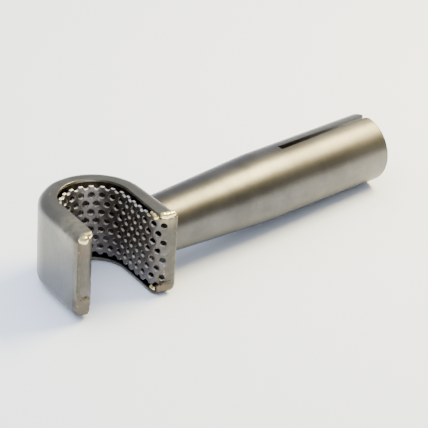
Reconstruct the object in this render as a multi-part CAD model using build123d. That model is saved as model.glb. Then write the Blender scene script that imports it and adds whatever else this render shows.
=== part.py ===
from build123d import *
from dataclasses import dataclass
import math
import os

# Hooked reflector nozzle for a hot-air tool, all sizes in millimetres.
# The frame's origin is the centre of the socket's mouth. +X points out of the mouth
# along the tube's axis, +Z is up and the hook opens towards -Y.

# ---- driving dimensions: stem tube ----
bore_radius = 10.75          # push-fit socket for a hot-air barrel
tube_wall = 1.0
taper_start = 51.7           # distance from the mouth to the start of the taper
taper_end_radius = 9.37      # outside radius of the tube where it meets the hook
slit_length = 41.0           # saw slit along the top that lets the socket spring
slit_width = 2.3             # at its closed end
slit_mouth_width = 1.0
slit_corner_radius = 1.6     # plan rounding of the slit's two corners at the mouth

# ---- driving dimensions: hook shell, a U channel of pressed sheet ----
hook_face_x = -97.3          # outer face of the stem-side leg, on the tube's axis
hook_turn = -10.0            # the hook's turn about Z, so that it opens away from the mouth
shell_radius = 17.6          # outer radius of the U's round back
back_centre_y = 3.9          # centre of the round back
shell_height = 29.0
shell_centre_z = -0.9
shell_sheet = 1.0
flange_width = 6.0
bend_radius = 3.5            # outside radius of the soft bends into the flanges
wall_splay = 2.6             # degrees that the stem-side wall stands out towards its end
corner_radius = 2.2          # plan radius of the upper flange's inner corners
tab_corner_radius = 2.2      # round corner where a tab's upper edge meets the wall


@dataclass
class Leg:
    """One end of the U channel, with a turned-up tab that closes its lower corner."""
    side: int                # +1 on the stem side, -1 on the free side
    end: float               # Y of the leg's end
    splay: float             # degrees that this leg's wall stands out
    end_radius: float        # rounding of the end's outer edges
    foot_radius: float       # outside radius of the bend from the lower flange up into the tab
    foot_corner: float       # plan radius of the lower flange's inner corner
    lobe_radius: float       # rounding of the tab's lower inner corner, seen from the front
    tab_height: float
    tab_inset: float         # how far the tab's inner edge stands back from the flange's


stem_leg = Leg(side=1, end=-15.8, splay=wall_splay, end_radius=1.2, foot_radius=3.2,
               foot_corner=4.6, lobe_radius=3.4, tab_height=4.2, tab_inset=0.0)
free_leg = Leg(side=-1, end=-16.4, splay=0.0, end_radius=2.4, foot_radius=2.8,
               foot_corner=3.4, lobe_radius=3.0, tab_height=6.9, tab_inset=0.9)

# ---- driving dimensions: sieve plate, a perforated strip with curled plain ends ----
sieve_sheet = 1.0
hole_radius = 1.0
hole_pitch = 3.5             # holes in close-packed rows
row_spaces = 8               # the strip is cut through the holes of its first and last row
sieve_gap = 0.05             # clearance between the strip and the flanges' edges
sieve_back_inset = 7.05      # mid-surface below the shell's outer face, at the back
sieve_top_z = 11.75
stem_curl_start = -6.7       # Y where the strip leaves the straight on the stem side
stem_curl_radius = 10.6
stem_curl_angle = 45.0
stem_end_curl_radius = 3.8   # the tighter curl of the plain end
stem_end_curl_angle = 43.0
stem_flat_length = 1.0
free_curl_start = -12.3
free_curl_radius = 3.0
free_curl_angle = 50.0
free_end_curl_radius = 5.5   # the wider curl of the plain end, which leaves it gently convex
free_end_curl_angle = 42.0
free_flat_length = 0.8
free_margin = 4.6            # plain length at the free end

# ---- driving dimensions: welds ----
stem_weld_leg = 1.3
stem_weld_toe = 2.5          # reach of the weld along the tube
weld_root = 1.5              # depth of the weld rings' hidden part, trimmed away
corner_bead_radius = 1.0
edge_bead_radius = 0.7
seam_bead_radius = 0.8

# ---- worked-out values ----
tube_radius = bore_radius + tube_wall
shell_top = shell_centre_z + shell_height / 2
shell_bottom = shell_centre_z - shell_height / 2
row_spacing = hole_pitch * math.sqrt(3) / 2
sieve_height = row_spaces * row_spacing
sieve_bottom_z = sieve_top_z - sieve_height
sieve_leg_x = shell_radius - flange_width - sieve_gap - sieve_sheet / 2
sieve_back_y = back_centre_y + shell_radius - sieve_back_inset - sieve_leg_x
taper_slope = (tube_radius - taper_end_radius) / (-hook_face_x - taper_start)
stem_margin = stem_flat_length + stem_end_curl_radius * math.radians(stem_end_curl_angle)
flange_edge_x = shell_radius - flange_width
tube_run_on = 4.0            # the tube's outline runs on this far, into the hook's wall
far = 60.0                   # a length that reaches past the whole hook

hook_place = Location((hook_face_x, 0, 0), (0, 0, hook_turn)) * Location((-shell_radius, 0, 0))


def box_between(low, high):
    """A box from its low corner to its high corner."""
    size = [b - a for a, b in zip(low, high)]
    middle = [(a + b) / 2 for a, b in zip(low, high)]
    return Pos(*middle) * Box(*size)


def hook_block(inset, z_low, z_high, splay=0.0):
    """A long D in plan, its outline inset from the shell's outer face, its stem side splayed."""
    radius = shell_radius - inset
    turn = math.radians(splay)
    touch = (radius * math.cos(turn), back_centre_y + radius * math.sin(turn))
    stem_foot = (touch[0] + (touch[1] + far) * math.tan(turn), -far)
    outline = make_face([
        Polyline((-radius, back_centre_y), (-radius, -far), stem_foot, touch).edges(),
        ThreePointArc(touch, (0, back_centre_y + radius), (-radius, back_centre_y)).edge(),
    ])
    return Pos(0, 0, z_low) * extrude(outline, z_high - z_low)


def rounded_block(inset, z_low, z_high, radius):
    """A splayed hook block with soft edges along its outer outline, above and below."""
    block = hook_block(inset, z_low, z_high, wall_splay)
    rims = [edge for edge in block.edges()
            if edge.center().Y > 1 - far and abs(edge.center().Z - (z_low + z_high) / 2) > 1]
    return fillet(rims, radius)


def upright_rod(x, y, radius):
    """A long rod along Z."""
    return Pos(x, y, 0) * Cylinder(radius, 4 * far)


def crosswise_rod(y, z, radius):
    """A long rod along X."""
    return Pos(0, y, z) * Rot(0, 90, 0) * Cylinder(radius, 4 * far)


def lengthwise_rod(x, z, radius):
    """A long rod along Y."""
    return Pos(x, 0, z) * Rot(90, 0, 0) * Cylinder(radius, 4 * far)


def leg_box(leg, y_range, z_range, x_range=(0, far)):
    """A box on one leg's side of the hook, its X range counted outward from the middle."""
    xs = sorted(leg.side * x for x in x_range)
    return box_between((xs[0], y_range[0], z_range[0]), (xs[1], y_range[1], z_range[1]))


def shell_envelope():
    """The shell's outer form without its cavity, used to trim what butts against it."""
    envelope = rounded_block(0, shell_bottom, shell_top, bend_radius)
    for leg in (stem_leg, free_leg):
        envelope -= leg_box(leg, (-2 * far, leg.end), (-far, far))
    return envelope


def foot_quarter(leg, radius):
    """What lies outside the bend from the lower flange up into a tab, for a bend radius."""
    square = leg_box(leg, (leg.end - 1, leg.end + leg.foot_radius),
                     (shell_bottom - 1, shell_bottom + leg.foot_radius))
    return square - crosswise_rod(leg.end + leg.foot_radius, shell_bottom + leg.foot_radius, radius)


def corner_cutters(leg):
    """What is cut away at a leg's end: the flanges' inner corners, the tab's and the foot's bend."""
    cutters = [foot_quarter(leg, leg.foot_radius)]
    sheet_y = leg.end + shell_sheet
    for radius, y_low, z_range in (
            (corner_radius, leg.end - 1, (shell_centre_z, far)),
            (leg.foot_corner, leg.end - 1, (-far, shell_bottom + shell_sheet)),
            (leg.foot_corner, sheet_y, (-far, shell_bottom + leg.foot_radius))):
        square = leg_box(leg, (y_low, leg.end + radius), z_range,
                         (flange_edge_x - 1, flange_edge_x + radius))
        cutters.append(square - upright_rod(leg.side * (flange_edge_x + radius),
                                            leg.end + radius, radius))
    tab_x = flange_edge_x + leg.tab_inset
    lobe_z = shell_bottom + leg.lobe_radius
    square = leg_box(leg, (leg.end - 1, sheet_y), (shell_bottom - 1, lobe_z),
                     (flange_edge_x - 1, tab_x + leg.lobe_radius))
    cutters.append(square - lengthwise_rod(leg.side * (tab_x + leg.lobe_radius), lobe_z, leg.lobe_radius))
    if leg.tab_inset:
        cutters.append(leg_box(leg, (leg.end - 1, sheet_y), (lobe_z, shell_bottom + leg.tab_height),
                               (flange_edge_x - 1, tab_x)))
    return cutters


def tab_space(leg, gap=0.0):
    """The space at a leg's lower corner that its tab fills, grown by a gap."""
    top = shell_bottom + leg.tab_height
    wall_x = (shell_radius - shell_sheet
              + (back_centre_y - leg.end) * math.tan(math.radians(leg.splay)))
    y_range = (-2 * far, leg.end + shell_sheet + gap)
    rod_x = wall_x - tab_corner_radius
    corner = leg_box(leg, y_range, (top, top + tab_corner_radius), (rod_x, far))
    corner -= lengthwise_rod(leg.side * rod_x, top + tab_corner_radius, tab_corner_radius - gap)
    return leg_box(leg, y_range, (-far, top + gap)) + corner


def reflector_shell():
    """The U channel: wall, two flanges and the turned-up tabs at the lower corners."""
    body = shell_envelope() - hook_block(flange_width, shell_bottom - 1, shell_top + 1)
    cavity = rounded_block(shell_sheet, shell_bottom + shell_sheet, shell_top - shell_sheet,
                           bend_radius - shell_sheet)
    for leg in (stem_leg, free_leg):
        foot = [edge for edge in body.edges().filter_by(Axis.X)
                if abs(edge.center().Y - leg.end) < 0.01 and edge.center().Z < shell_centre_z
                and edge.center().X * leg.side > 0]
        body = fillet(foot, leg.end_radius)
        for cutter in corner_cutters(leg):
            body -= cutter
        cavity -= tab_space(leg)
        cavity -= foot_quarter(leg, leg.foot_radius - shell_sheet)
    shell = body - cavity
    return shell - hook_place.inverse() * tube_solid(tube_wall)


def tube_solid(inset):
    """Socket and taper as one solid of revolution, inset from the tube's outside."""
    end_x = hook_face_x - tube_run_on
    end_radius = taper_end_radius - tube_run_on * taper_slope
    outline = make_face(Polyline(
        (0, 0), (0, tube_radius - inset), (-taper_start, tube_radius - inset),
        (end_x, end_radius - inset), (end_x, 0), close=True))
    return revolve(outline, Axis.X)


def stem_tube():
    """The spun tube: slit socket, taper and an end cut to sit on the hook's outer wall."""
    tube = tube_solid(0) - tube_solid(tube_wall)
    above = 2 * tube_radius
    slit = extrude(make_face(Polyline(
        (-slit_length, -slit_width / 2), (0, -slit_mouth_width / 2),
        (0, slit_mouth_width / 2), (-slit_length, slit_width / 2), close=True)), above)
    corner_y = slit_mouth_width / 2 + slit_corner_radius
    mouth = box_between((-slit_corner_radius, -corner_y, 0), (1, corner_y, above))
    for y in (-corner_y, corner_y):
        mouth -= upright_rod(-slit_corner_radius, y, slit_corner_radius)
    return tube - slit - mouth - hook_place * shell_envelope()


def stem_weld():
    """The fillet weld around the tube on the hook's outer wall."""
    root_radius = taper_end_radius - weld_root
    ring = make_face(Polyline(
        (shell_radius - 2 * weld_root, root_radius),
        (shell_radius - 2 * weld_root, taper_end_radius + stem_weld_leg),
        (shell_radius, taper_end_radius + stem_weld_leg),
        (shell_radius + stem_weld_toe, root_radius), close=True))
    ring = hook_place * revolve(ring, Axis.X)
    return ring - tube_solid(0) - hook_place * shell_envelope()


def sieve_path():
    """The strip's mid-line in plan, from the stem side's end round the back to the free end."""
    stem_start = (sieve_leg_x, stem_curl_start)
    free_start = (-sieve_leg_x, free_curl_start)
    stem_curl = JernArc(stem_start, (0, -1), stem_curl_radius, stem_curl_angle)
    stem_end_curl = JernArc(stem_curl @ 1, stem_curl % 1, stem_end_curl_radius, stem_end_curl_angle)
    stem_flat = Line(stem_end_curl @ 1, stem_end_curl @ 1 + (stem_end_curl % 1) * stem_flat_length)
    stem_side = Line(stem_start, (sieve_leg_x, sieve_back_y))
    back = JernArc((sieve_leg_x, sieve_back_y), (0, 1), sieve_leg_x, 180)
    free_side = Line(back @ 1, free_start)
    free_curl = JernArc(free_start, (0, -1), free_curl_radius, -free_curl_angle)
    free_end_curl = JernArc(free_curl @ 1, free_curl % 1, free_end_curl_radius, -free_end_curl_angle)
    free_flat = Line(free_end_curl @ 1, free_end_curl @ 1 + (free_end_curl % 1) * free_flat_length)
    lines = (stem_flat, stem_end_curl, stem_curl, stem_side, back, free_side,
             free_curl, free_end_curl, free_flat)
    return Wire([line.edge() for line in lines])


def along(path, length):
    """Point and tangent at a length from the path's stem-side end."""
    share = length / path.length
    if (path @ 0).X < 0:
        return path @ (1 - share), -(path % (1 - share))
    return path @ share, path % share


def sieve_plate():
    """The perforated strip. Each half pitch along it holds every other row of holes."""
    path = sieve_path()
    middle_z = (sieve_top_z + sieve_bottom_z) / 2
    section = Plane(origin=path @ 0, x_dir=(0, 0, 1), z_dir=path % 0) * Rectangle(
        sieve_height, sieve_sheet)
    strip = Pos(0, 0, middle_z) * sweep(section, path)
    columns = int((path.length - stem_margin - free_margin) / (hole_pitch / 2)) + 1
    punches = []
    for column in range(columns):
        point, tangent = along(path, stem_margin + column * hole_pitch / 2)
        for row in range((column + 1) % 2, row_spaces + 1, 2):
            place = Plane(origin=(point.X, point.Y, sieve_top_z - row * row_spacing),
                          z_dir=(tangent.Y, -tangent.X, 0))
            punches.append(place * Cylinder(hole_radius, 4 * sieve_sheet))
    strip -= punches
    strip -= tab_space(stem_leg, sieve_gap) + tab_space(free_leg, sieve_gap)
    return strip & hook_block(shell_sheet + sieve_gap, sieve_bottom_z - 1, sieve_top_z + 1, wall_splay)


def bead(start, end, radius):
    """A weld bead: a straight round run with domed ends."""
    start, end = Vector(*start), Vector(*end)
    run = Plane(origin=start, z_dir=end - start) * Cylinder(
        radius, (end - start).length, align=(Align.CENTER, Align.CENTER, Align.MIN))
    return run + Pos(start) * Sphere(radius) + Pos(end) * Sphere(radius)


def corner_welds():
    """The beads that hold the strip in the shell, by node name, before they are trimmed."""
    upper_z = shell_top - 0.6 * corner_bead_radius
    edge_z = sieve_top_z + 0.2
    lower_z = (sieve_bottom_z + shell_bottom + shell_sheet) / 2
    tab_top = shell_bottom + free_leg.tab_height
    return {
        "stem_corner_weld": bead(
            (flange_edge_x + 1.3, stem_leg.end + 0.7, upper_z),
            (flange_edge_x + 4.6, stem_leg.end, upper_z), corner_bead_radius),
        "free_corner_weld": bead(
            (-flange_edge_x - 2.6, free_leg.end - 0.1, upper_z),
            (-flange_edge_x - 5.4, free_leg.end, upper_z - 0.7), corner_bead_radius),
        "sieve_edge_weld": bead(
            (flange_edge_x + 0.1, stem_leg.end + 5.2, edge_z),
            (flange_edge_x + 0.4, stem_leg.end + 2.6, edge_z), edge_bead_radius),
        "stem_seam_weld": bead(
            (flange_edge_x + 0.4, stem_leg.end + 3.9, lower_z),
            (flange_edge_x + 0.6, stem_leg.end + 2.9, lower_z), seam_bead_radius),
        "free_seam_weld": bead(
            (-flange_edge_x - 1.6, free_leg.end + 0.2, tab_top),
            (-flange_edge_x - 3.6, free_leg.end + 0.1, tab_top), edge_bead_radius),
    }


if __name__ == "__main__":
    os.makedirs("parts", exist_ok=True)
    shell = reflector_shell()
    sieve = sieve_plate() - shell
    nodes = {
        "stem_tube": stem_tube(),
        "reflector_shell": hook_place * shell,
        "sieve_plate": hook_place * sieve,
        "stem_weld": stem_weld(),
    }
    for name, weld in corner_welds().items():
        nodes[name] = hook_place * (weld - shell - sieve)
    for name, solid in nodes.items():
        export_step(solid, f"parts/{name}.step")
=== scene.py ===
"""Looks of a hooked sieve reflector nozzle: satin steel, bright weld beads and heat tint.

Lengths are in metres. The frame's origin is the centre of the socket's mouth, +X points out of
the mouth along the tube, +Z is up and the hook opens towards -Y.
"""

import math
import random

import bmesh
import bpy
from mathutils import Matrix, Vector, noise

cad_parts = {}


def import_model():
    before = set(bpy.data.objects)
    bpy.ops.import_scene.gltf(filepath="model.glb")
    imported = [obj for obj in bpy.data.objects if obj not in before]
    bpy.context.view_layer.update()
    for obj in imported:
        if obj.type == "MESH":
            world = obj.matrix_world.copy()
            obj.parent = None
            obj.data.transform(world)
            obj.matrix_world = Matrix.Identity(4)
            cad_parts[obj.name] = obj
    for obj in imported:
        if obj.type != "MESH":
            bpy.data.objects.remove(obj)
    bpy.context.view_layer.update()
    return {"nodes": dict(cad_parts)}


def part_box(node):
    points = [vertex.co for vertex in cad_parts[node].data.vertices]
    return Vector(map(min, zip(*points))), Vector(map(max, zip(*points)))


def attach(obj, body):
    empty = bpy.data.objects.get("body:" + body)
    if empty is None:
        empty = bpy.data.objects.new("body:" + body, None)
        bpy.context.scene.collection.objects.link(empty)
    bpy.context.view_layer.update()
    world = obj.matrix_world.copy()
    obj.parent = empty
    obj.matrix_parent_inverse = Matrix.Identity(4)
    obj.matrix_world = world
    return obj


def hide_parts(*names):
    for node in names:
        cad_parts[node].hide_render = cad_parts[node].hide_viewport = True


MM = 0.001

# ---- view: the camera's place around a target, as azimuth, elevation and roll in degrees ----
VIEW_AZIMUTH = -44.28
VIEW_ELEVATION = 28.18
VIEW_ROLL = 3.67
VIEW_TARGET = Vector((-68.8, 0.5, -4.3)) * MM
VIEW_DISTANCE = 631.9 * MM
LENS = 164.07                # millimetres, on a 36 mm sensor

HOOK_TURN = math.radians(-10)   # the hook's turn about Z
HOOK_FACE = -97.3               # the hook's outer face on the tube's axis, in millimetres
SHELL_RADIUS = 17.6             # the outer radius of the U's back, in millimetres
BACK_CENTRE = 3.9               # the U's centre, back along the hook, in millimetres
FLANGE_EDGE = 11.6              # the flanges' inner edge from the hook's middle, in millimetres
LEG_END = -16.0                 # the legs' ends, along the hook, in millimetres

# ---- mesh: fineness of the pieces that are meshed anew, and the ground seams' thickness ----
SHEET_VOXEL = 0.2 * MM
BEAD_VOXEL = 0.1 * MM
SEAM_VOXEL = 0.12 * MM
SEAM_RADIUS = 0.6 * MM
SOFT_END = 5 * MM               # how far back from the legs' ends their extra softening reaches

# ---- steel: grain depth; colours of edges and stains, painted highlight and painted shade ----
GRAIN_DEPTH = 0.04 * MM
WEAR_AND_HIGHLIGHT = (0.55, 0.51, 0.42)       # edges rubbed bright, with a painted highlight on them
PAINTED_SHADE_AND_RIM = (0.085, 0.07, 0.056)     # painted shade in the bore and in the hot-air space, and the darker mouth's rim
CUT_AND_HIGHLIGHT = (0.92, 0.90, 0.84)        # sheared edges of the strip: their own lighter metal and a painted highlight
BROWN = (0.15, 0.105, 0.062)    # heat tint
STRAW = (0.36, 0.29, 0.16)      # lighter heat tint
SHELL = (0.185, 0.176, 0.15)
PLAIN = (0.095, 0.09, 0.078)    # the strip's plain ends and the lobes

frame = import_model()

HOOK_X = Vector((math.cos(HOOK_TURN), math.sin(HOOK_TURN), 0))    # outward on the stem side
HOOK_Y = Vector((-math.sin(HOOK_TURN), math.cos(HOOK_TURN), 0))   # from the legs' ends to the back
HOOK_MIDDLE = Vector((HOOK_FACE * MM, 0, 0)) - HOOK_X * SHELL_RADIUS * MM


def at(x, y, z):
    """A place in the hook's own directions, from millimetres."""
    return HOOK_MIDDLE + (HOOK_X * x + HOOK_Y * y + Vector((0, 0, z))) * MM


# ---------------------------------------------------------------- node helpers

def new_material(name):
    """An empty node material, with its node tree and its shader."""
    material = bpy.data.materials.new(name)
    material.use_nodes = True
    tree = material.node_tree
    return material, tree, tree.nodes["Principled BSDF"]


def add(tree, kind, inputs=None, **settings):
    """A node of a kind, with properties by name and values or links for its inputs."""
    node = tree.nodes.new(kind)
    for key, value in settings.items():
        setattr(node, key, value)
    for key, value in (inputs or {}).items():
        if isinstance(value, bpy.types.NodeSocket):
            tree.links.new(value, node.inputs[key])
        else:
            node.inputs[key].default_value = value
    return node


def noise_value(tree, place, size, detail):
    """Noise of a feature size, from 0 to 1."""
    return add(tree, "ShaderNodeTexNoise", {
        "Vector": place, "Scale": 1 / size, "Detail": detail}).outputs["Fac"]


def ramp(tree, value, low, high, to_low=0.0, to_high=1.0):
    """A value brought smoothly from one range to another."""
    return add(tree, "ShaderNodeMapRange", {
        "Value": value, "From Min": low, "From Max": high, "To Min": to_low, "To Max": to_high},
        interpolation_type="SMOOTHSTEP").outputs["Result"]


def mix(tree, factor, first, second):
    """Two colours mixed by a factor."""
    node = add(tree, "ShaderNodeMix", data_type="RGBA")
    for index, value in ((0, factor), (6, first), (7, second)):
        if isinstance(value, bpy.types.NodeSocket):
            tree.links.new(value, node.inputs[index])
        else:
            node.inputs[index].default_value = value if index == 0 else (*value, 1)
    return node.outputs[2]


def near(tree, place, spot, inner, outer):
    """1 within an inner distance of a spot, falling smoothly to 0 at the outer one."""
    away = add(tree, "ShaderNodeVectorMath", {0: place, 1: spot}, operation="DISTANCE")
    return ramp(tree, away.outputs["Value"], inner, outer, 1.0, 0.0)


def math_node(tree, operation, first, second=0.0):
    """The result of a maths node."""
    return add(tree, "ShaderNodeMath", {0: first, 1: second}, operation=operation).outputs["Value"]


def satin_steel(name, colour, roughness, grain=0.5 * MM, bump=0.5, patches=(), cut_and_highlight=None,
                bore=False, cavity_shaded=False):
    """Bead-blasted steel: fine grain, clouds of tone, edges rubbed bright with a painted
    highlight, and coloured patches at spots.

    grain is the grain's feature size and bump the strength of its relief; the patches are
    (spot, reach, colour, strength) of heat tint, tones, painted highlight and painted shade; the
    sheared-edge colour, or None, goes on edges that face up or down as their own lighter metal
    and a painted highlight; bore paints shade in the tube's bore, on what faces the X axis, and
    darkens the mouth's rim, and the cavity option paints shade by the mesh's own shade values.
    """
    material, tree, shader = new_material(name)
    place = add(tree, "ShaderNodeTexCoord").outputs["Object"]
    clouds = noise_value(tree, place, 9 * MM, 3.0)
    fine = noise_value(tree, place, grain, 3.0)
    dark, light = (tuple(c * k for c in colour) for k in (0.84, 1.1))
    shade = mix(tree, ramp(tree, clouds, 0.35, 0.65), dark, light)
    pits = ramp(tree, fine, 0.3, 0.75, 0.0, 0.35)
    shade = mix(tree, pits, shade, tuple(c * 0.55 for c in colour))
    ragged = noise_value(tree, place, 2.2 * MM, 4.0)
    for spot, reach, patch_colour, strength in patches:
        patch = near(tree, place, spot, 0.25 * reach, reach)
        uneven = ramp(tree, ragged, 0.3, 0.62, 0.35 * strength, strength)
        shade = mix(tree, math_node(tree, "MULTIPLY", patch, uneven), shade, patch_colour)
    rough = ramp(tree, fine, 0.3, 0.7, roughness - 0.05, roughness + 0.05)
    geometry = add(tree, "ShaderNodeNewGeometry")
    # convex edges found by pointiness get rubbed-bright wear and a painted highlight
    wear_and_highlight = ramp(tree, geometry.outputs["Pointiness"], 0.55, 0.67, 0.0, 0.4)
    shade = mix(tree, wear_and_highlight, shade, WEAR_AND_HIGHLIGHT)
    # faces that point up or down get the sheared-edge colour: the strip's own lighter cut metal
    # and a painted highlight
    if cut_and_highlight:
        facing = add(tree, "ShaderNodeSeparateXYZ", {0: geometry.outputs["True Normal"]})
        edge = ramp(tree, math_node(tree, "ABSOLUTE", facing.outputs["Z"]), 0.35, 0.7)
        shade = mix(tree, edge, shade, cut_and_highlight)
        rough = math_node(tree, "MAXIMUM", rough, math_node(tree, "MULTIPLY", edge, 0.8))
    # painted shade in the tube's bore, on faces that look towards the X axis; the mouth's rim is
    # darkened too
    if bore:
        across = add(tree, "ShaderNodeVectorMath", {0: place, 1: (0, 1, 1)}, operation="MULTIPLY")
        outward = add(tree, "ShaderNodeVectorMath", {
            0: across.outputs["Vector"], 1: geometry.outputs["True Normal"]},
            operation="DOT_PRODUCT")
        bore_shade = ramp(tree, outward.outputs["Value"], -4 * MM, -8 * MM)
        along = add(tree, "ShaderNodeSeparateXYZ", {0: place}).outputs["X"]
        rim = ramp(tree, along, -0.6 * MM, -0.1 * MM)
        shade = mix(tree, math_node(tree, "MAXIMUM", bore_shade, rim), shade, PAINTED_SHADE_AND_RIM)
    # painted shade in the hot-air space, by the mesh's own shade values
    if cavity_shaded:
        cavity_shade = add(tree, "ShaderNodeAttribute", attribute_name="cavity_shade").outputs["Fac"]
        shade = mix(tree, cavity_shade, shade, PAINTED_SHADE_AND_RIM)
    tree.links.new(shade, shader.inputs["Base Color"])
    tree.links.new(rough, shader.inputs["Roughness"])
    relief = add(tree, "ShaderNodeBump", {
        "Strength": bump, "Distance": GRAIN_DEPTH, "Height": fine})
    tree.links.new(relief.outputs["Normal"], shader.inputs["Normal"])
    shader.inputs["Metallic"].default_value = 1.0
    return material


# ---------------------------------------------------------------- mesh helpers

def new_object(name, mesh):
    """An object with a mesh, in the scene."""
    thing = bpy.data.objects.new(name, mesh)
    bpy.context.scene.collection.objects.link(thing)
    return thing


def settle(piece):
    """Apply a piece's modifiers and shade it smooth."""
    graph = bpy.context.evaluated_depsgraph_get()
    piece.data = bpy.data.meshes.new_from_object(piece.evaluated_get(graph))
    piece.modifiers.clear()
    piece.data.shade_smooth()


def meshed_anew(piece, voxel, softening):
    """An even fine mesh in place of the piece's own, its edges softened."""
    remesh = piece.modifiers.new("even", "REMESH")
    remesh.mode = "VOXEL"
    remesh.voxel_size = voxel
    soft = piece.modifiers.new("soft", "SMOOTH")
    soft.factor = 0.5
    soft.iterations = softening
    settle(piece)


def roughened(piece, size, height, seed):
    """Move each point along its normal by smooth noise."""
    offset = Vector((seed, 2 * seed, 3 * seed))
    moves = [point.normal * (noise.noise(point.co / size + offset) * height)
             for point in piece.data.vertices]
    for point, move in zip(piece.data.vertices, moves):
        point.co += move


def centre_of(node):
    """The middle of a node's box."""
    low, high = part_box(node)
    return (low + high) / 2


def coated(mesh, material):
    """Give a mesh one material in place of its own."""
    mesh.materials.clear()
    mesh.materials.append(material)


def stands_for(piece, node, material):
    """Put a finished piece in a CAD node's place."""
    coated(piece.data, material)
    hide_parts(node)
    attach(piece, "root")


def sheet_form(node, name, material, softening=3, end_softening=10):
    """A sheet-metal node with worked edges, softest at the legs' ends, and uneven faces."""
    piece = new_object(name, frame["nodes"][node].data.copy())
    meshed_anew(piece, SHEET_VOXEL, softening)
    ends = piece.vertex_groups.new(name="ends")
    middle_y = centre_of("stem_corner_weld").dot(HOOK_Y)
    for point in piece.data.vertices:
        share = 1 - (point.co.dot(HOOK_Y) - middle_y) / SOFT_END
        ends.add([point.index], min(max(share, 0), 1), "REPLACE")
    soft = piece.modifiers.new("soft_ends", "SMOOTH")
    soft.vertex_group = ends.name
    soft.iterations = end_softening
    settle(piece)
    roughened(piece, 7 * MM, 0.08 * MM, 1)
    roughened(piece, 0.9 * MM, 0.02 * MM, 2)
    stands_for(piece, node, material)
    return piece


def paint_cavity_shade(piece):
    """Painted shade of 1 on the faces looking into the hot-air space between shell and strip."""
    low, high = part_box("reflector_shell")
    middle_z = (low[2] + high[2]) / 2
    ring = (FLANGE_EDGE + SHELL_RADIUS) / 2
    cavity_shade = piece.data.attributes.new("cavity_shade", "FLOAT", "POINT")
    for point, value in zip(piece.data.vertices, cavity_shade.data):
        local = point.co - HOOK_MIDDLE
        x, y = local.dot(HOOK_X) / MM, local.dot(HOOK_Y) / MM
        behind = max(y - BACK_CENTRE, 0)
        out = math.hypot(x, behind)
        outward = (HOOK_X * x + HOOK_Y * behind) / out
        towards = outward * (ring - out) + Vector((0, 0, (middle_z - point.co.z) / MM))
        facing = point.normal.dot(towards) > 0.5
        deep = FLANGE_EDGE + 0.4 < out < SHELL_RADIUS - 0.5
        value.value = 1.0 if facing and deep and y > LEG_END + 2.0 else 0.0


def lumpy_bead(node, name, along, radius, lumps, seed, material, reach=1.0, offset=(0, 0, 0)):
    """A weld bead: puddles of metal that ran together, laid along a line through the node.

    reach is the share of the node's length that the row of puddles takes, and offset moves the
    row's middle away from the node's.
    """
    low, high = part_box(node)
    centre = (low + high) / 2 + Vector(offset)
    span = ((high - low).dot(Vector(abs(c) for c in along)) / 2 - radius * 0.9) * reach
    dice = random.Random(seed)
    form = bmesh.new()
    for number in range(lumps):
        share = 2 * number / (lumps - 1) - 1
        size = radius * dice.uniform(0.85, 1.05)
        shift = Vector([dice.uniform(-1, 1) for _ in range(3)]) * radius * 0.15
        place = Matrix.Translation(centre + along * span * share + shift)
        bmesh.ops.create_icosphere(form, subdivisions=4, radius=size, matrix=place)
    mesh = bpy.data.meshes.new(name)
    form.to_mesh(mesh)
    form.free()
    piece = new_object(name, mesh)
    meshed_anew(piece, BEAD_VOXEL, 14)
    roughened(piece, 2.0 * MM, 0.08 * MM, seed)
    stands_for(piece, node, material)


def ground_seam(name, points, material):
    """A seam that was welded and ground nearly flush, as a soft ridge through its points."""
    line = bpy.data.curves.new(name, "CURVE")
    line.dimensions = "3D"
    line.bevel_depth = SEAM_RADIUS
    line.bevel_resolution = 5
    line.use_fill_caps = True
    spline = line.splines.new("POLY")
    spline.points.add(len(points) - 1)
    for place, point in zip(points, spline.points):
        point.co = (*place, 1)
    curve = new_object(name + "_line", line)
    graph = bpy.context.evaluated_depsgraph_get()
    piece = new_object(name, bpy.data.meshes.new_from_object(curve.evaluated_get(graph)))
    bpy.data.objects.remove(curve)
    meshed_anew(piece, SEAM_VOXEL, 8)
    roughened(piece, 1.6 * MM, 0.15 * MM, 4)
    coated(piece.data, material)
    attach(piece, "root")


# ---------------------------------------------------------------- materials

shell_low, shell_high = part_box("reflector_shell")
free_top = centre_of("free_corner_weld")
stem_top = centre_of("stem_corner_weld")
free_foot = centre_of("free_seam_weld")
stem_foot = centre_of("stem_seam_weld")
tube_root = centre_of("stem_weld")
down = Vector((0, 0, -1))

# each patch is a spot, its reach, its colour and its strength; they hold heat tint, tones, painted
# highlight and painted shade
leg_stains = [
    # the first patch darkens towards brown just under the free corner bead
    (free_top + down * 3 * MM, 5 * MM, BROWN, 0.45),
    (free_foot + down * 2 * MM, 6 * MM, BROWN, 0.25),
    (stem_foot - HOOK_Y * 3 * MM, 5.5 * MM, BROWN, 0.5),
    (stem_top + down * 2 * MM, 4 * MM, STRAW, 0.6),
    (tube_root, 14 * MM, BROWN, 0.25),
]
plain_ends = [
    (at(-15, LEG_END, 2), 12 * MM, PLAIN, 1.5),
    (at(17, LEG_END, 6), 7 * MM, PLAIN, 1.5),
    (at(17, LEG_END, -1), 7 * MM, PLAIN, 1.5),
    (at(17, LEG_END, -9), 7 * MM, PLAIN, 1.5),
]
lobes = [
    (at(-14.5, LEG_END, -12), 8 * MM, PLAIN, 1.3),
    (at(14.5, LEG_END, -13), 8 * MM, PLAIN, 1.3),
]
# the first darkens the free side's wall; the second is a painted highlight, lighter and warm, on
# the free flange's top
wall_tones_and_highlight = [
    (at(-SHELL_RADIUS, 4, -2), 24 * MM, (0.15, 0.146, 0.132), 1.2),
    (at(-14.5, -9, 13.6), 9 * MM, (0.32, 0.295, 0.225), 0.9),
]
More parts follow.
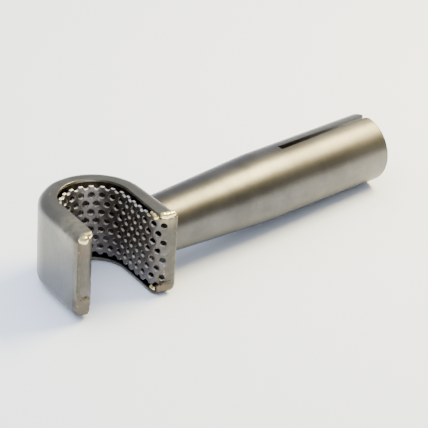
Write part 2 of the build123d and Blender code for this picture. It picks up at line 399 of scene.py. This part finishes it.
# the first darkens the strip's stem side towards brown; the second is painted shade on the back of
# the strip, deep in the hook
sieve_tones_and_shade = [
    (centre_of("sieve_plate") + HOOK_X * 9 * MM, 16 * MM, (0.11, 0.08, 0.06), 0.7),
    (at(-4, 14, -1), 15 * MM, (0.085, 0.072, 0.066), 0.9),
]
tube_tones = [(tube_root, 15 * MM, (0.115, 0.095, 0.062), 0.6)]

# the tube's bore gets painted shade, and its mouth's rim a darker colour
tube_steel = satin_steel("tube_steel", (0.112, 0.110, 0.109), 0.36, grain=0.35 * MM, bump=0.2,
                         patches=tube_tones, bore=True)
shell_steel = satin_steel("shell_steel", SHELL, 0.33, patches=wall_tones_and_highlight + lobes + leg_stains,
                          cavity_shaded=True)
# the strip's sheared edges get a lighter colour with a painted highlight
sieve_steel = satin_steel("sieve_steel", (0.165, 0.152, 0.15), 0.40,
                          patches=plain_ends + leg_stains + sieve_tones_and_shade, cut_and_highlight=CUT_AND_HIGHLIGHT)
weld_steel = satin_steel("weld_steel", (1.0, 0.84, 0.42), 0.22, grain=1.2 * MM)
ground_steel = satin_steel("ground_steel", (0.115, 0.106, 0.083), 0.38, patches=leg_stains)


# ---------------------------------------------------------------- pieces

# the shell's faces in the hot-air space get painted shade
paint_cavity_shade(sheet_form("reflector_shell", "pressed_shell", shell_steel))
sheet_form("sieve_plate", "punched_strip", sieve_steel,
           softening=2, end_softening=2)
lumpy_bead("free_corner_weld", "free_corner_bead", HOOK_X, 1.5 * MM, 3, 3, weld_steel,
           reach=0.4, offset=(HOOK_X * 0.2 - HOOK_Y * 0.3 - Vector((0, 0, 0.3))) * MM)
lumpy_bead("stem_corner_weld", "stem_corner_bead", HOOK_X, 1.15 * MM, 5, 5, weld_steel)
lumpy_bead("sieve_edge_weld", "sieve_edge_bead", HOOK_Y, 1.1 * MM, 4, 7, weld_steel)
lumpy_bead("stem_seam_weld", "stem_seam_bead", HOOK_Y, 0.7 * MM, 3, 9, weld_steel)
lumpy_bead("free_seam_weld", "free_seam_bead", HOOK_X, 0.5 * MM, 4, 11, ground_steel)
for node, material in (("stem_tube", tube_steel), ("stem_weld", weld_steel)):
    coated(frame["nodes"][node].data, material)

# where the strip's plain ends meet the shell's walls and tabs
ground_seam("free_leg_seam", [
    at(-16.5, -16.05, 12.0), at(-16.6, -16.05, -5.6), at(-16.0, -16.1, -7.8),
    at(-14.6, -16.05, -8.5)], ground_steel)
ground_seam("stem_leg_seam", [
    at(17.35, -15.4, 12.0), at(17.35, -15.4, -8.6), at(16.6, -15.4, -10.6),
    at(13.2, -15.2, -11.2)], ground_steel)


# ---------------------------------------------------------------- stage

def floor():
    """A pale floor under the hook's foot and the mouth's lower rim."""
    low = shell_low[2]
    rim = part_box("stem_tube")[0][2]
    foot_x = shell_high[0]
    slope = (rim - low) / -foot_x
    half = 1.5                  # metres
    mesh = bpy.data.meshes.new("floor")
    corners = [(x, y, low + (x - foot_x) * slope) for x, y in
               ((-half, -half), (half, -half), (half, half), (-half, half))]
    mesh.from_pydata(corners, [], [(0, 1, 2, 3)])
    thing = new_object("floor", mesh)
    material, _, shader = new_material("floor")
    shader.inputs["Base Color"].default_value = (0.77, 0.815, 0.93, 1)
    shader.inputs["Roughness"].default_value = 0.8
    mesh.materials.append(material)


def direction(azimuth, elevation):
    """Unit vector towards an azimuth and elevation in degrees, counted as the view's are."""
    a, e = math.radians(azimuth), math.radians(elevation)
    return Vector((math.sin(a) * math.cos(e), -math.cos(a) * math.cos(e), math.sin(e)))


def camera():
    """The camera, looking at the target from its azimuth and elevation."""
    data = bpy.data.cameras.new("camera")
    data.lens = LENS
    data.sensor_width = 36
    data.clip_start = 0.01
    thing = new_object("camera", data)
    back = direction(VIEW_AZIMUTH, VIEW_ELEVATION)
    right = Vector((0, 0, 1)).cross(back).normalized()
    level = Matrix((right, back.cross(right), back)).transposed()
    turn = level @ Matrix.Rotation(math.radians(VIEW_ROLL), 3, "Z")
    thing.matrix_world = Matrix.Translation(VIEW_TARGET + back * VIEW_DISTANCE) @ turn.to_4x4()
    bpy.context.scene.camera = thing


def softbox(name, target, azimuth, elevation, distance, size, power, colour, mirrored=True):
    """A rectangular area light that looks at a target. Unless mirrored, no gloss shows it."""
    data = bpy.data.lights.new(name, "AREA")
    data.shape = "RECTANGLE"
    data.size, data.size_y = size
    data.energy = power
    data.color = colour
    thing = new_object(name, data)
    towards = direction(azimuth, elevation)
    thing.location = target + towards * distance
    thing.rotation_euler = towards.to_track_quat("Z", "Y").to_euler()
    thing.visible_glossy = mirrored


def world():
    """Light from all round, brightest overhead, with a dimmer side for the steel's dark bands."""
    surroundings = bpy.data.worlds.new("world")
    surroundings.use_nodes = True
    tree = surroundings.node_tree
    ray = add(tree, "ShaderNodeTexCoord").outputs["Generated"]
    towards = add(tree, "ShaderNodeVectorMath", {0: ray, 1: direction(38, 14)},
                  operation="DOT_PRODUCT").outputs["Value"]
    dark = ramp(tree, towards, math.cos(math.radians(46)), math.cos(math.radians(18)))
    height = add(tree, "ShaderNodeSeparateXYZ", {0: ray}).outputs["Z"]
    overhead = ramp(tree, height, math.sin(math.radians(50)), math.sin(math.radians(75)))
    sky = mix(tree, overhead, (0.86, 0.91, 1.0), (2.0, 2.1, 2.3))
    shade = mix(tree, dark, sky, (0.36, 0.32, 0.23))
    tree.links.new(shade, tree.nodes["Background"].inputs["Color"])
    tree.nodes["Background"].inputs["Strength"].default_value = 1.0
    bpy.context.scene.world = surroundings


floor()
camera()
world()
softbox("key", tube_root, 78, 50, 0.5, (0.24, 0.13), 8.2, (1.0, 0.82, 0.38))
softbox("fill", VIEW_TARGET, 200, 62, 0.9, (1.3, 1.3), 14, (0.82, 0.91, 1.0), mirrored=False)
softbox("front_fill", VIEW_TARGET, -70, 40, 0.9, (1.3, 1.3), 8, (0.82, 0.89, 1.0), mirrored=False)
